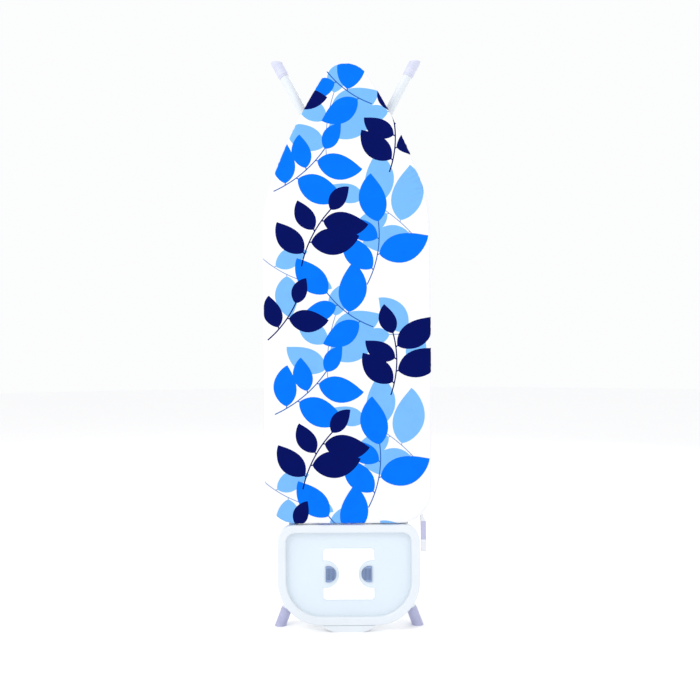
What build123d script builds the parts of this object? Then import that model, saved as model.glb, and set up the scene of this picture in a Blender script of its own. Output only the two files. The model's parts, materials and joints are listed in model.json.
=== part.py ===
"""A folding ironing board with a steam-unit tray, stored upright and folded flat.

Frame: X to the right, Y from the ironing face to the legs, Z up from the floor to the nose.
The folded board stands on the lip of its tray and on the two feet of the tail leg.
Depths are measured from the ironing face towards the legs. All sizes are in millimetres.
"""

import os
from math import cos, radians, sin

from build123d import *

# Driving dimensions
BOARD_LENGTH = 1240
BOARD_WIDTH = 450
TAIL_Z = 294  # square end of the board above the floor
TIP_Z = TAIL_Z + BOARD_LENGTH
TOTAL_HEIGHT = 1558  # floor to the ends of the nose leg's feet
TOTAL_DEPTH = 81
FACE_Y = -TOTAL_DEPTH / 2

# Board outline: three tangent arcs from the tip, a straight side and a rounded tail corner
NOSE_RADIUS = 70
NOSE_END_ANGLE = 33
FLANK_RADIUS = 1396
FLANK_END_ANGLE = 20
SIDE_AFTER_FLANK = BOARD_WIDTH / 2 - NOSE_RADIUS * cos(radians(NOSE_END_ANGLE))
SIDE_AFTER_FLANK -= FLANK_RADIUS * (cos(radians(FLANK_END_ANGLE)) - cos(radians(NOSE_END_ANGLE)))
SHOULDER_RADIUS = SIDE_AFTER_FLANK / (1 - cos(radians(FLANK_END_ANGLE)))
TAIL_CORNER_RADIUS = 86

# Layers of the ironing surface, by depth
FABRIC = 1
PANEL_THICKNESS = 0.6
UNDERSIDE_DEPTH = 9
PANEL_DEPTH = UNDERSIDE_DEPTH - PANEL_THICKNESS
PAD_THICKNESS = PANEL_DEPTH - FABRIC
EDGE_TUBE_RADIUS = 10
EDGE_TUBE_WALL = 1.2
EDGE_TUBE_DEPTH = UNDERSIDE_DEPTH + EDGE_TUBE_RADIUS
EDGE_TUBE_INSET = EDGE_TUBE_RADIUS + 2
FRAME_BACK_DEPTH = EDGE_TUBE_DEPTH + EDGE_TUBE_RADIUS
HEM_DEPTH = FRAME_BACK_DEPTH + 1
HEM_WIDTH = 20

# Legs: a scissor of two pairs of tubes
LEG_DEPTH = 66
LEG_TUBE_RADIUS = 12.5
LEG_TUBE_WALL = 1.2
LEG_LENGTH = 1198.5
UPPER_SHARE = 0.35  # share of each leg above the centre pivot
HINGE_Z = LEG_LENGTH
CENTRE_Z = HINGE_Z - UPPER_SHARE * LEG_LENGTH
SLIDER_Z = CENTRE_Z - UPPER_SHARE * LEG_LENGTH
TAIL_LEG_X = 54
NOSE_LEG_X = 92
TAIL_FOOT_X = 190
NOSE_FOOT_X = 192
TAIL_BEND_Z = 364
NOSE_BEND_Z = 1370
LEG_BEND_RADIUS = 120
OPEN_ANGLE = 48.5  # turn of the tail leg from folded to the highest ironing position
LOWEST_ANGLE = 32.5
HEIGHT_STEPS = 7

# Feet
FOOT_RADIUS = 15
FOOT_LENGTH = 46
FOOT_FLOOR = 9
SOLE_CUT = 4

# Pins
AXLE_RADIUS = 5
RUNNING_GAP = 0.05
SLIDER_PIN_RADIUS = 4

# Tray
TRAY_WIDTH = 385
TRAY_TOP_Z = 290
TRAY_BOTTOM_Z = 17
TRAY_TOP_CORNER = 48
TRAY_BOTTOM_CORNER = 120
TRAY_RIM_WIDTH = 23
TRAY_FRONT_DEPTH = 4
TRAY_BACK_DEPTH = 31.5
TRAY_FLOOR_DEPTH = 17
TRAY_FLOOR_THICKNESS = 1.5
CUTOUT_HALF = 70
CUTOUT_Z = 153.5
TAB_RADIUS = 37
TAB_REACH = 43
PAD_HALF_HEIGHT = 21.8
PAD_DEPTH = 3
TRAY_ARM_X = 150
TRAY_ARM_MOUNT_Z = 327

# Track and height rack
RAIL_X = 114
RAIL_WIDTH = 30
RAIL_DEPTH = 26
RAIL_WALL = 1.5
RAIL_SLOT = 14
MEMBER_HEIGHT = 30
MID_MEMBER_Z = 690
TAIL_MEMBER_Z = 322
RAIL_BOTTOM_Z = TAIL_MEMBER_Z + MEMBER_HEIGHT / 2
RAIL_TOP_Z = MID_MEMBER_Z - MEMBER_HEIGHT / 2
RACK_HALF_WIDTH = 6
RACK_CREST_DEPTH = 34
NOTCH_DEPTH = 6
NOTCH_HEIGHT = 11

# Slider bridge and release lever, heights from the slider pins
BRIDGE_DEPTH = 38
BRIDGE_THICKNESS = 3
BRIDGE_HALF_HEIGHT = 30
EAR_X = 106
LEVER_PIVOT_UP = 22
LEVER_PIVOT_DEPTH = 50
LEVER_PIN_RADIUS = 3
PAWL_DOWN = 6
PAWL_THICKNESS = 7
PADDLE_UP = 95
LEVER_ENGAGE_ANGLE = 9

# Transport lock
LOCK_PIVOT_DEPTH = 38
LOCK_PIVOT_Z = 1270
BRACE_RADIUS = 8
NOSE_BRACE_Z = 1250
LOCK_OPEN_ANGLE = 50

SIDES = {"left": -1, "right": 1}


def y_at(depth):
    """Frame Y of a depth below the ironing face."""
    return FACE_Y + depth


def behind_face(depth):
    """Sketch plane parallel to the ironing face. Extruding by a negative amount goes deeper."""
    return Plane.XZ.offset(-y_at(depth))


def across(x):
    """Sketch plane across the board at x, with local x along +Y and local y along +Z."""
    return Plane(origin=(x, 0, 0), x_dir=(0, 1, 0), z_dir=(1, 0, 0))


def finish(name, builder):
    """Labels a finished piece and writes its STEP file."""
    builder.part.label = name
    export_step(builder.part, f"parts/{name}.step")


def board_edge(inset):
    """Half of the board's outline, drawn into the open BuildLine and mirrored to the whole."""
    nose = JernArc((0, TIP_Z - inset), (1, 0), NOSE_RADIUS - inset, NOSE_END_ANGLE - 90)
    flank = JernArc(nose @ 1, nose % 1, FLANK_RADIUS - inset, FLANK_END_ANGLE - NOSE_END_ANGLE)
    shoulder = JernArc(flank @ 1, flank % 1, SHOULDER_RADIUS - inset, -FLANK_END_ANGLE)
    side = Line(shoulder @ 1, (BOARD_WIDTH / 2 - inset, TAIL_Z + TAIL_CORNER_RADIUS))
    corner = JernArc(side @ 1, (0, -1), TAIL_CORNER_RADIUS - inset, -90)
    Line(corner @ 1, (0, TAIL_Z + inset))
    mirror(about=Plane.YZ)


def board_face(inset):
    """The board's outline as a face in local x, z, set in by a margin."""
    with BuildSketch() as face:
        with BuildLine():
            board_edge(inset)
        make_face()
    return face.sketch


def tray_face(inset):
    """The tray's outline: small corners at the top and large ones at the bottom."""
    half = TRAY_WIDTH / 2 - inset
    top, bottom = TRAY_TOP_Z - inset, TRAY_BOTTOM_Z + inset
    small, large = TRAY_TOP_CORNER - inset, TRAY_BOTTOM_CORNER - inset
    with BuildSketch() as face:
        with BuildLine():
            upper = Line((0, top), (half - small, top))
            upper_corner = JernArc(upper @ 1, (1, 0), small, -90)
            side = Line(upper_corner @ 1, (half, bottom + large))
            lower_corner = JernArc(side @ 1, (0, -1), large, -90)
            Line(lower_corner @ 1, (0, bottom))
            mirror(about=Plane.YZ)
        make_face()
    return face.sketch


def slab(name, outline, depth, thickness):
    """A flat piece of an outline, from one depth to a deeper one."""
    with BuildPart() as piece:
        with BuildSketch(behind_face(depth)):
            add(outline)
        extrude(amount=-thickness)
    finish(name, piece)
    return piece


def make_cover():
    """Cotton cover: a shell over the pad and the edge tube, with a hem turned in behind."""
    with BuildPart() as cover:
        with BuildSketch(behind_face(0)):
            add(board_face(0))
        extrude(amount=-HEM_DEPTH)
        fillet(cover.faces().sort_by(Axis.Y)[0].edges(), radius=7)
        with BuildPart(mode=Mode.PRIVATE) as pocket:
            with BuildSketch(behind_face(FABRIC)):
                add(board_face(FABRIC))
            extrude(amount=-(HEM_DEPTH - 2 * FABRIC))
            fillet(pocket.faces().sort_by(Axis.Y)[0].edges(), radius=6)
        add(pocket.part, mode=Mode.SUBTRACT)
        with BuildSketch(behind_face(HEM_DEPTH - FABRIC)):
            add(board_face(HEM_WIDTH))
        extrude(amount=-FABRIC, mode=Mode.SUBTRACT)
    finish("cover", cover)


def make_padding():
    """Felt and foam underlay between the cover and the panel."""
    with BuildPart() as padding:
        with BuildSketch(behind_face(FABRIC)):
            add(board_face(FABRIC))
        extrude(amount=-PAD_THICKNESS)
        fillet(padding.faces().sort_by(Axis.Y)[0].edges(), radius=6)
    finish("padding", padding)


def make_edge_tube():
    """Round tube bent to the board's outline."""
    with BuildPart() as tube:
        with BuildLine(behind_face(EDGE_TUBE_DEPTH)) as path:
            board_edge(EDGE_TUBE_INSET)
        with BuildSketch(Plane(origin=path.line @ 0, z_dir=path.line % 0)):
            Circle(EDGE_TUBE_RADIUS)
            Circle(EDGE_TUBE_RADIUS - EDGE_TUBE_WALL, mode=Mode.SUBTRACT)
        sweep(path=path.wires()[0])
    finish("edge_tube", tube)


def make_cross_member(name, height):
    """Pressed channel from tube to tube under the panel, open towards the panel's underside."""
    with BuildPart() as member:
        with BuildSketch(behind_face(UNDERSIDE_DEPTH)):
            with Locations((0, height)):
                Rectangle(BOARD_WIDTH, MEMBER_HEIGHT)
        extrude(amount=-(FRAME_BACK_DEPTH - UNDERSIDE_DEPTH))
        with BuildSketch(behind_face(UNDERSIDE_DEPTH)):
            with Locations((0, height)):
                Rectangle(BOARD_WIDTH, MEMBER_HEIGHT - 4)
        extrude(amount=-(FRAME_BACK_DEPTH - UNDERSIDE_DEPTH - 2), mode=Mode.SUBTRACT)
        with BuildSketch(behind_face(UNDERSIDE_DEPTH)):
            add(board_face(EDGE_TUBE_INSET + EDGE_TUBE_RADIUS))
        extrude(amount=-(FRAME_BACK_DEPTH - UNDERSIDE_DEPTH), mode=Mode.INTERSECT)
    finish(name, member)


def make_rail(name, side):
    """Slotted channel that guides one shoe of the slider."""
    half = RAIL_WIDTH / 2
    with BuildPart() as rail:
        with BuildSketch(Plane.XY.offset(RAIL_BOTTOM_Z)):
            with Locations((side * RAIL_X, y_at(UNDERSIDE_DEPTH + RAIL_DEPTH / 2))):
                Rectangle(RAIL_WIDTH, RAIL_DEPTH)
                Rectangle(RAIL_WIDTH - 2 * RAIL_WALL, RAIL_DEPTH - 2 * RAIL_WALL, mode=Mode.SUBTRACT)
            with Locations((side * RAIL_X, y_at(UNDERSIDE_DEPTH + RAIL_DEPTH))):
                Rectangle(RAIL_SLOT, half, mode=Mode.SUBTRACT)
        extrude(amount=RAIL_TOP_Z - RAIL_BOTTOM_Z)
    finish(name, rail)


def pawl_height(angle):
    """Height of the engaged pawl's tip when the tail leg is turned by an angle from folded."""
    slider = HINGE_Z - 2 * UPPER_SHARE * LEG_LENGTH * cos(radians(angle))
    drop = LEVER_PIVOT_UP + PAWL_DOWN
    reach = LEVER_PIVOT_DEPTH - RACK_CREST_DEPTH
    engaged = radians(LEVER_ENGAGE_ANGLE)
    return slider + LEVER_PIVOT_UP - drop * cos(engaged) + reach * sin(engaged)


def make_height_rack():
    """Notched bar with one notch for each ironing height and a low stretch for storage."""
    bottom = RAIL_BOTTOM_Z
    relief_top = pawl_height(0) + 2.5 * NOTCH_HEIGHT
    step = (OPEN_ANGLE - LOWEST_ANGLE) / (HEIGHT_STEPS - 1)
    notches = [pawl_height(LOWEST_ANGLE + step * i) for i in range(HEIGHT_STEPS)]
    with BuildPart() as rack:
        with BuildSketch(across(-RACK_HALF_WIDTH)):
            with Locations((y_at(UNDERSIDE_DEPTH), bottom)):
                Rectangle(
                    RACK_CREST_DEPTH - UNDERSIDE_DEPTH,
                    RAIL_TOP_Z - bottom,
                    align=(Align.MIN, Align.MIN),
                )
            with Locations((y_at(RACK_CREST_DEPTH), (bottom + relief_top) / 2)):
                Rectangle(2 * NOTCH_DEPTH, relief_top - bottom, mode=Mode.SUBTRACT)
            with Locations(*[(y_at(RACK_CREST_DEPTH), z) for z in notches]):
                Rectangle(2 * NOTCH_DEPTH, NOTCH_HEIGHT, mode=Mode.SUBTRACT)
        extrude(amount=2 * RACK_HALF_WIDTH)
    finish("height_rack", rack)


def make_hinge_bracket():
    """U-shaped bracket on the nose cross member that carries the tail leg's axle."""
    ear_x, ear = 36.5, 3
    with BuildPart() as bracket:
        with BuildSketch(behind_face(FRAME_BACK_DEPTH)):
            with Locations((0, HINGE_Z)):
                Rectangle(2 * (ear_x + ear), MEMBER_HEIGHT)
        extrude(amount=-ear)
        for side in SIDES.values():
            with BuildSketch(across(side * (ear_x + ear / 2) - ear / 2)):
                with Locations((y_at(LEG_DEPTH), HINGE_Z)):
                    Circle(12)
                with Locations((y_at((LEG_DEPTH + FRAME_BACK_DEPTH) / 2), HINGE_Z)):
                    Rectangle(LEG_DEPTH - FRAME_BACK_DEPTH, 24)
            extrude(amount=ear)
        with BuildSketch(across(-ear_x - 2 * ear)):
            with Locations((y_at(LEG_DEPTH), HINGE_Z)):
                Circle(AXLE_RADIUS + RUNNING_GAP)
        extrude(amount=2 * ear_x + 4 * ear, mode=Mode.SUBTRACT)
    finish("hinge_bracket", bracket)


def leg_points(side, top_x, foot_x, bend_z, end_z, foot_z):
    """Corner points of one leg tube: straight from its pivot end, then splayed to the foot."""
    slope = (foot_x - top_x) / (foot_z - bend_z)
    reach = foot_z - (FOOT_FLOOR if foot_z > bend_z else -FOOT_FLOOR)
    tube_x = top_x + slope * (reach - bend_z)
    y = y_at(LEG_DEPTH)
    return [(side * top_x, y, end_z), (side * top_x, y, bend_z), (side * tube_x, y, reach)]


def make_leg_tube(name, points, holes):
    """Bent tube with cross holes, each given by its height and radius."""
    with BuildPart() as tube:
        with BuildLine() as path:
            FilletPolyline(*points, radius=LEG_BEND_RADIUS)
        with BuildSketch(Plane(origin=path.line @ 0, z_dir=path.line % 0)):
            Circle(LEG_TUBE_RADIUS)
            Circle(LEG_TUBE_RADIUS - LEG_TUBE_WALL, mode=Mode.SUBTRACT)
        sweep()
        for height, radius in holes:
            with Locations(Plane(origin=(points[0][0], y_at(LEG_DEPTH), height), z_dir=(1, 0, 0))):
                Hole(radius)
    finish(name, tube)


def make_foot(name, side, top_x, foot_x, bend_z, foot_z):
    """Foot cap: flat where the folded board stands, and cut flat again for the floor in use."""
    towards = 1 if foot_z > bend_z else -1
    end = Vector(side * foot_x, y_at(LEG_DEPTH), foot_z)
    bend = Vector(side * top_x, y_at(LEG_DEPTH), bend_z)
    inward = (bend - end).normalized()
    overrun, mouth_height = 12, 6
    sole = Vector(0, cos(radians(OPEN_ANGLE)), towards * sin(radians(OPEN_ANGLE)))
    corner = Vector(0, y_at(LEG_DEPTH) + FOOT_RADIUS, foot_z)
    on_sole = corner - sole * SOLE_CUT
    with BuildPart() as foot:
        with BuildSketch(Plane(origin=end - inward * overrun, z_dir=inward)):
            Circle(FOOT_RADIUS)
        extrude(amount=FOOT_LENGTH + overrun)
        with BuildSketch(Plane(origin=end + inward * FOOT_LENGTH, z_dir=inward)):
            Circle(FOOT_RADIUS - 0.8)
        extrude(amount=mouth_height)
        split(bisect_by=Plane(origin=end, z_dir=(0, 0, -towards)), keep=Keep.TOP)
        split(bisect_by=Plane(origin=on_sole, z_dir=-sole), keep=Keep.TOP)
        with BuildSketch(Plane(origin=end + inward * FOOT_FLOOR, z_dir=inward)):
            Circle(LEG_TUBE_RADIUS + RUNNING_GAP)
        extrude(amount=FOOT_LENGTH, mode=Mode.SUBTRACT)
    finish(name, foot)


def make_bolt(name, depth, height, spans, side=1):
    """Pin across the board, built from lengths given by their two x values and a radius."""
    with BuildPart() as bolt:
        for low, high, radius in spans:
            start = low if side > 0 else -high
            with BuildSketch(across(start)):
                with Locations((y_at(depth), height)):
                    Circle(radius)
            extrude(amount=high - low)
    finish(name, bolt)


def make_plug(name, x, end_z, towards):
    """Plastic plug in the open end of a leg tube, with a flange over the tube's edge."""
    with BuildPart() as plug:
        with BuildSketch(Plane(origin=(x, y_at(LEG_DEPTH), end_z), z_dir=(0, 0, towards))):
            Circle(LEG_TUBE_RADIUS)
        extrude(amount=2)
        fillet(plug.edges().sort_by(Axis.Z)[-1 if towards > 0 else 0], radius=1.2)
        with BuildSketch(Plane(origin=(x, y_at(LEG_DEPTH), end_z), z_dir=(0, 0, -towards))):
            Circle(LEG_TUBE_RADIUS - LEG_TUBE_WALL)
        extrude(amount=6)
    finish(name, plug)


def make_brace(name, half_length, height, radius, lean=0):
    """Straight round tube welded between two leg tubes, which lean outwards by dx per dz."""
    with BuildPart() as brace:
        with BuildSketch(across(-half_length)):
            with Locations((y_at(LEG_DEPTH), height)):
                Circle(radius)
                Circle(radius - 1.2, mode=Mode.SUBTRACT)
        extrude(amount=2 * half_length)
        for side in SIDES.values():
            centre = (side * half_length, y_at(LEG_DEPTH), height)
            with Locations(Plane(origin=centre, z_dir=(side * lean, 0, 1))):
                Cylinder(LEG_TUBE_RADIUS, 8 * radius, mode=Mode.SUBTRACT)
    finish(name, brace)


def make_tray_rim():
    """Pressed rim of the tray, a channel open towards the back."""
    with BuildPart() as rim:
        with BuildSketch(behind_face(TRAY_FRONT_DEPTH)):
            add(tray_face(0))
            add(tray_face(TRAY_RIM_WIDTH), mode=Mode.SUBTRACT)
        extrude(amount=-(TRAY_BACK_DEPTH - TRAY_FRONT_DEPTH))
        fillet(rim.faces().sort_by(Axis.Y)[0].edges(), radius=4)
        with BuildSketch(behind_face(TRAY_FRONT_DEPTH + 1.5)):
            add(tray_face(1.5))
            add(tray_face(TRAY_RIM_WIDTH - 1.5), mode=Mode.SUBTRACT)
        extrude(amount=-(TRAY_BACK_DEPTH - TRAY_FRONT_DEPTH - 1.5), mode=Mode.SUBTRACT)
    finish("tray_rim", rim)


def make_tray_base():
    """Sheet inside the rim, with a square opening and a rounded tab reaching in from each side."""
    with BuildPart() as base:
        with BuildSketch(behind_face(TRAY_FLOOR_DEPTH)):
            add(tray_face(TRAY_RIM_WIDTH))
            with Locations((0, CUTOUT_Z)):
                RectangleRounded(2 * CUTOUT_HALF, 2 * CUTOUT_HALF, 10, mode=Mode.SUBTRACT)
            for side in SIDES.values():
                with Locations((side * (CUTOUT_HALF - (TAB_REACH - TAB_RADIUS) / 2 + 1), CUTOUT_Z)):
                    Rectangle(TAB_REACH - TAB_RADIUS + 2, 2 * TAB_RADIUS)
                with Locations((side * (CUTOUT_HALF - TAB_REACH + TAB_RADIUS), CUTOUT_Z)):
                    Circle(TAB_RADIUS)
        extrude(amount=-TRAY_FLOOR_THICKNESS)
    finish("tray_base", base)


def make_tray_pad(name, side):
    """Ribbed heat-proof pad on one tab: flat outwards and round towards the middle."""
    half, flat_x, round_x, pitch = PAD_HALF_HEIGHT, 63, 34, 3.6
    with BuildPart() as pad:
        with BuildSketch(behind_face(TRAY_FLOOR_DEPTH)) as outline:
            with Locations((side * (round_x + half), CUTOUT_Z)):
                Circle(half)
            with Locations((side * (flat_x + 50), CUTOUT_Z)):
                Rectangle(100, 100, mode=Mode.SUBTRACT)
        extrude(amount=PAD_DEPTH)
        with BuildSketch(behind_face(TRAY_FLOOR_DEPTH - PAD_DEPTH)):
            with Locations((side * (round_x + flat_x) / 2, CUTOUT_Z)):
                with GridLocations(pitch, 1, 7, 1):
                    Rectangle(1.6, 2 * half - 12)
        extrude(amount=-1, mode=Mode.SUBTRACT)
    finish(name, pad)


def make_stand_lip():
    """Rounded lip under the tray that the folded board stands on."""
    half, flat_half, overlap = 70, 30, 3
    with BuildPart() as lip:
        with BuildSketch(behind_face(TRAY_FRONT_DEPTH + 1)):
            with BuildLine():
                flat = Line((0, 0), (flat_half, 0))
                curve = TangentArc(flat @ 1, (half, TRAY_BOTTOM_Z), tangent=(1, 0))
                edge = Line(curve @ 1, (half, TRAY_BOTTOM_Z + overlap))
                Line(edge @ 1, (0, TRAY_BOTTOM_Z + overlap))
                mirror(about=Plane.YZ)
            make_face()
            add(tray_face(0), mode=Mode.SUBTRACT)
        extrude(amount=-(TRAY_BACK_DEPTH - TRAY_FRONT_DEPTH - 1))
    finish("stand_lip", lip)


def make_tray_arm(name, side):
    """Flat bar that carries the tray from the tail cross member."""
    with BuildPart() as arm:
        with BuildSketch(behind_face(TRAY_BACK_DEPTH)):
            with Locations((side * TRAY_ARM_X, 193.5)):
                RectangleRounded(25, 283, 5)
        extrude(amount=-5)
        with BuildSketch(behind_face(FRAME_BACK_DEPTH)):
            with Locations((side * TRAY_ARM_X, TRAY_ARM_MOUNT_Z)):
                Rectangle(25, 16)
        extrude(amount=-(TRAY_BACK_DEPTH - FRAME_BACK_DEPTH))
    finish(name, arm)


def make_screws(name, heights, x):
    """Round-headed screws through both tray arms."""
    with BuildPart() as screws:
        with BuildSketch(behind_face(TRAY_BACK_DEPTH + 5)):
            with Locations(*[(side * x, z) for side in SIDES.values() for z in heights]):
                Circle(6)
        extrude(amount=-3)
        fillet(screws.faces().group_by(Axis.Y)[-1].edges(), radius=1)
    finish(name, screws)


def make_lock_bracket():
    """Two ears on the panel's underside that carry the transport lock."""
    inner, ear, top = 6.5, 2, LOCK_PIVOT_DEPTH + 6
    with BuildPart() as bracket:
        with BuildSketch(behind_face(UNDERSIDE_DEPTH)):
            with Locations((0, LOCK_PIVOT_Z)):
                Rectangle(2 * (inner + ear) + 20, 30)
        extrude(amount=-1.5)
        for x in (-inner - ear, inner):
            with BuildSketch(across(x)):
                with Locations((y_at(UNDERSIDE_DEPTH), LOCK_PIVOT_Z)):
                    Rectangle(top - UNDERSIDE_DEPTH, 14, align=(Align.MIN, Align.CENTER))
            extrude(amount=ear)
        with BuildSketch(across(-inner - ear)):
            with Locations((y_at(LOCK_PIVOT_DEPTH), LOCK_PIVOT_Z)):
                Circle(2.5)
        extrude(amount=2 * (inner + ear), mode=Mode.SUBTRACT)
    finish("lock_bracket", bracket)


def make_lock_hook():
    """Transport lock, drawn closed over the nose leg's brace and then turned open."""
    back, tip = 41, LOCK_PIVOT_Z - NOSE_BRACE_Z
    with BuildPart() as hook:
        with BuildSketch(Plane.YZ.offset(-6)):
            with Locations(Rotation(0, 0, LOCK_OPEN_ANGLE)):
                Circle(7)
                with Locations((-4, 0)):
                    Rectangle(8, 17, align=(Align.MIN, Align.MIN))
                with Locations((0, -10)):
                    Rectangle(back, 9, align=(Align.MIN, Align.MIN))
                with Locations((back, -tip)):
                    Rectangle(4, tip - 1, align=(Align.MAX, Align.MIN))
            Circle(2.5 + RUNNING_GAP, mode=Mode.SUBTRACT)
        extrude(amount=12)
    hook.part.position = (0, y_at(LOCK_PIVOT_DEPTH), LOCK_PIVOT_Z)
    finish("lock_hook", hook)


def make_slider_bridge():
    """Plate across both rails with ears for the nose leg and lugs for the release lever."""
    half = 126
    ear, lug_x, lug = 3, 22, 3
    back = BRIDGE_DEPTH + BRIDGE_THICKNESS
    pivot_z = SLIDER_Z + LEVER_PIVOT_UP
    with BuildPart() as bridge:
        with BuildSketch(behind_face(BRIDGE_DEPTH)):
            with Locations((0, SLIDER_Z)):
                RectangleRounded(2 * half, 2 * BRIDGE_HALF_HEIGHT, 6)
                Rectangle(2 * RACK_HALF_WIDTH + 4, 34, mode=Mode.SUBTRACT)
        extrude(amount=-BRIDGE_THICKNESS)
        for side in SIDES.values():
            with BuildSketch(across(side * (EAR_X + ear / 2) - ear / 2)):
                with Locations((y_at(LEG_DEPTH), SLIDER_Z)):
                    Circle(12)
                with Locations((y_at((LEG_DEPTH + back) / 2), SLIDER_Z)):
                    Rectangle(LEG_DEPTH - back, 24)
            extrude(amount=ear)
            with BuildSketch(across(side * (lug_x + lug / 2) - lug / 2)):
                with Locations((y_at(LEVER_PIVOT_DEPTH), pivot_z)):
                    Circle(7)
                with Locations((y_at((LEVER_PIVOT_DEPTH + back) / 2), pivot_z)):
                    Rectangle(LEVER_PIVOT_DEPTH - back, 14)
            extrude(amount=lug)
        with BuildSketch(across(-half)):
            with Locations((y_at(LEG_DEPTH), SLIDER_Z)):
                Circle(SLIDER_PIN_RADIUS + RUNNING_GAP)
            with Locations((y_at(LEVER_PIVOT_DEPTH), pivot_z)):
                Circle(LEVER_PIN_RADIUS)
        extrude(amount=2 * half, mode=Mode.SUBTRACT)
    finish("slider_bridge", bridge)


def make_slider_shoe(name, side):
    """Plastic shoe that runs inside a rail, with a neck through the slot to the bridge."""
    play = 0.5
    width = RAIL_WIDTH - 2 * RAIL_WALL - 2 * play
    depth = RAIL_DEPTH - 2 * RAIL_WALL - 2 * play
    front = UNDERSIDE_DEPTH + RAIL_WALL + play
    with BuildPart() as shoe:
        with BuildSketch(behind_face(front)):
            with Locations((side * RAIL_X, SLIDER_Z)):
                RectangleRounded(width, 40, 3)
        extrude(amount=-depth)
        with BuildSketch(behind_face(front + depth)):
            with Locations((side * RAIL_X, SLIDER_Z)):
                Rectangle(10, 36)
        extrude(amount=-(BRIDGE_DEPTH - front - depth))
    finish(name, shoe)


def make_release_lever():
    """Sprung lever: a pawl for the height rack below its pin and a hand paddle above it."""
    pivot = (y_at(LEVER_PIVOT_DEPTH), SLIDER_Z + LEVER_PIVOT_UP)
    tip_depth = RACK_CREST_DEPTH + 0.5
    arm_bottom = SLIDER_Z - PAWL_DOWN - PAWL_THICKNESS / 2
    with BuildPart() as lever:
        with BuildSketch(across(-21)):
            with Locations(pivot):
                Circle(6)
        extrude(amount=42)
        with BuildSketch(across(-5)):
            with Locations((y_at(47), arm_bottom)):
                Rectangle(6, pivot[1] - arm_bottom, align=(Align.MIN, Align.MIN))
            with Locations((y_at(tip_depth), arm_bottom)):
                Rectangle(47 - tip_depth, PAWL_THICKNESS, align=(Align.MIN, Align.MIN))
        extrude(amount=10)
        with BuildSketch(behind_face(LEVER_PIVOT_DEPTH)):
            with Locations((0, pivot[1])):
                Rectangle(24, 24, align=(Align.CENTER, Align.MIN))
            with Locations((0, SLIDER_Z + (PADDLE_UP + 40) / 2)):
                RectangleRounded(60, PADDLE_UP - 40, 12)
        extrude(amount=-5)
        with BuildSketch(across(-21)):
            with Locations(pivot):
                Circle(LEVER_PIN_RADIUS + RUNNING_GAP)
        extrude(amount=42, mode=Mode.SUBTRACT)
    finish("release_lever", lever)


def make_care_label():
    """Sewn-in care label hanging from behind the hem at the tail corner."""
    with BuildPart() as label:
        with BuildSketch(behind_face(HEM_DEPTH)):
            with Locations((204.5, 278.5)):
                Rectangle(19, 123)
        extrude(amount=-0.6)
    finish("care_label", label)


os.makedirs("parts", exist_ok=True)

make_cover()
make_padding()
slab("top_panel", board_face(6), PANEL_DEPTH, PANEL_THICKNESS)
make_edge_tube()
make_cross_member("cross_member_tail", TAIL_MEMBER_Z)
make_cross_member("cross_member_mid", MID_MEMBER_Z)
make_cross_member("cross_member_nose", HINGE_Z)
make_height_rack()
make_hinge_bracket()
make_lock_bracket()
make_bolt(
    "lock_pin", LOCK_PIVOT_DEPTH, LOCK_PIVOT_Z,
    [(-10, 10, 2.5), (-11.5, -8.5, 4), (8.5, 11.5, 4)],
)
make_lock_hook()
make_care_label()

make_tray_rim()
make_tray_base()
make_stand_lip()
make_screws("tray_screws", (62, 278, TRAY_ARM_MOUNT_Z), TRAY_ARM_X)

make_bolt(
    "hinge_axle", LEG_DEPTH, HINGE_Z,
    [(-67.5, 67.5, AXLE_RADIUS), (-70.5, -66.5, 8), (66.5, 70.5, 8)],
)
make_brace("tail_leg_upper_brace", TAIL_LEG_X, 1000, BRACE_RADIUS)
tail_lean = (TAIL_FOOT_X - TAIL_LEG_X) / -TAIL_BEND_Z
lower_brace_z = 250
lower_brace_half = TAIL_LEG_X + tail_lean * (lower_brace_z - TAIL_BEND_Z)
make_brace("tail_leg_lower_brace", lower_brace_half, lower_brace_z, BRACE_RADIUS, tail_lean)
make_brace("nose_leg_brace", NOSE_LEG_X, NOSE_BRACE_Z, BRACE_RADIUS)

make_slider_bridge()
make_bolt(
    "lever_pin", LEVER_PIVOT_DEPTH, SLIDER_Z + LEVER_PIVOT_UP,
    [(-27, 27, LEVER_PIN_RADIUS), (-28, -25, 5), (25, 28, 5)],
)
make_release_lever()

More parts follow.
